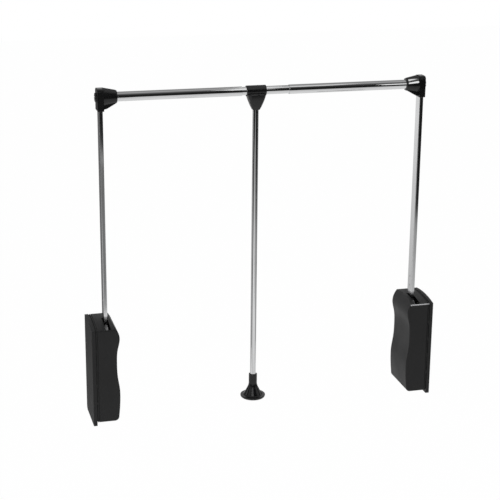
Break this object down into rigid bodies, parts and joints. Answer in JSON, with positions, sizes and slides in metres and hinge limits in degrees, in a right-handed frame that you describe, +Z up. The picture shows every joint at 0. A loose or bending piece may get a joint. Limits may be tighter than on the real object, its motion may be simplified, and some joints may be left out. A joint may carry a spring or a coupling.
{
  "type": "pull down closet rod",
  "caption": "Wardrobe lift: chromed telescopic hanging bar on two sprung swing arms with side-mounted black housings and a long pull handle.",
  "frame": {"origin": "on the hanging bar's axis, midway between the two arms", "axes": "+X along the bar to the right, +Y into the wardrobe, +Z up"},
  "size_m": [0.963, 0.126, 0.9095],
  "materials": {
    "housing_plastic": "fine moulded texture, satin",
    "fitting_plastic": "moulded, semi-gloss",
    "chrome": "bright chrome plate",
    "bright_steel": "nickel plated",
    "zinc_steel": "zinc plated",
    "spring_steel": "oiled spring wire",
    "damper_paint": "black enamel",
    "rubber": "matt",
    "nylon": "natural nylon",
    "dark_screw": "black oxide"
  },
  "bodies": {
    "left_housing": {"left_base_plate": "housing_plastic", "left_housing_cover": "housing_plastic", "left_outer_frame_plate": "zinc_steel", "left_inner_frame_plate": "zinc_steel", "left_frame_spacers": "zinc_steel", "left_frame_screws": "zinc_steel", "left_pivot_axle": "zinc_steel", "left_stop_buffer": "rubber", "left_stop_pin": "zinc_steel", "left_spring_seat": "zinc_steel", "left_damper_cylinder": "damper_paint"},
    "left_arm": {"left_pivot_bush": "nylon", "left_arm_lever": "bright_steel", "left_arm_rivets": "bright_steel", "left_lift_arm": "chrome", "left_tail_pin": "zinc_steel", "left_corner_connector": "fitting_plastic", "left_connector_cap": "fitting_plastic", "left_connector_screws": "dark_screw", "left_outer_tube": "chrome"},
    "left_crosshead_slide": {"left_crosshead": "zinc_steel", "left_spring_rod": "zinc_steel", "left_spring_nut": "zinc_steel", "left_lift_spring": "spring_steel", "left_damper_rod": "bright_steel"},
    "right_housing": {"right_base_plate": "housing_plastic", "right_housing_cover": "housing_plastic", "right_outer_frame_plate": "zinc_steel", "right_inner_frame_plate": "zinc_steel", "right_frame_spacers": "zinc_steel", "right_frame_screws": "zinc_steel", "right_pivot_axle": "zinc_steel", "right_stop_buffer": "rubber", "right_stop_pin": "zinc_steel", "right_spring_seat": "zinc_steel", "right_damper_cylinder": "damper_paint"},
    "right_arm": {"right_pivot_bush": "nylon", "right_arm_lever": "bright_steel", "right_arm_rivets": "bright_steel", "right_lift_arm": "chrome", "right_tail_pin": "zinc_steel", "right_corner_connector": "fitting_plastic", "right_connector_cap": "fitting_plastic", "right_connector_screws": "dark_screw", "right_outer_tube": "chrome"},
    "right_crosshead_slide": {"right_crosshead": "zinc_steel", "right_spring_rod": "zinc_steel", "right_spring_nut": "zinc_steel", "right_lift_spring": "spring_steel", "right_damper_rod": "bright_steel"},
    "inner_bar": {"inner_tube": "chrome", "hub_clips": "spring_steel"},
    "hub_bush": {"hub_bush": "nylon"},
    "pull_handle": {"hub_front_shell": "fitting_plastic", "hub_rear_shell": "fitting_plastic", "hub_screws": "dark_screw", "handle_tube": "chrome", "tube_plug": "nylon", "pull_knob": "fitting_plastic", "knob_screw": "zinc_steel"}
  },
  "joints": [
    {"name": "arm_swing", "type": "hinge", "parent": "left_housing", "child": "left_arm", "pos_m": [-0.4365, -0.036, -0.633], "axis": [1, 0, 0], "range_deg": [0, 90], "stiffness_Nm_per_rad": 12, "springref_deg": -34.38},
    {"name": "left_bar_telescope", "type": "slide", "parent": "left_arm", "child": "inner_bar", "axis": [1, 0, 0], "range_m": [-0.011, 0.094]},
    {"name": "right_bar_telescope", "type": "slide", "parent": "inner_bar", "child": "right_arm", "axis": [1, 0, 0], "range_m": [-0.059, 0.094]},
    {"name": "right_housing_turn", "type": "hinge", "parent": "right_arm", "child": "right_housing", "pos_m": [0.4365, -0.036, -0.633], "axis": [1, 0, 0], "range_deg": [-90, 0]},
    {"name": "left_crosshead_rise", "type": "slide", "parent": "left_housing", "child": "left_crosshead_slide", "axis": [0, 0, 1], "range_m": [0, 0.0256], "deforming": ["left_lift_spring"]},
    {"name": "right_crosshead_rise", "type": "slide", "parent": "right_housing", "child": "right_crosshead_slide", "axis": [0, 0, 1], "range_m": [0, 0.0256], "deforming": ["right_lift_spring"]},
    {"name": "hub_bush_turn", "type": "hinge", "parent": "inner_bar", "child": "hub_bush", "pos_m": [-0.024, 0, 0], "axis": [1, 0, 0], "range_deg": [-90, 0]},
    {"name": "handle_swing", "type": "hinge", "parent": "hub_bush", "child": "pull_handle", "pos_m": [-0.024, 0, 0], "axis": [1, 0, 0], "continuous": true}
  ],
  "couplings": [
    {"joint": "right_housing_turn", "follows": "arm_swing", "ratio": -1},
    {"joint": "hub_bush_turn", "follows": "arm_swing", "ratio": -1},
    {"joint": "left_crosshead_rise", "follows": "arm_swing", "m_per_rad": 0.016206},
    {"joint": "right_crosshead_rise", "follows": "arm_swing", "m_per_rad": 0.016206}
  ]
}
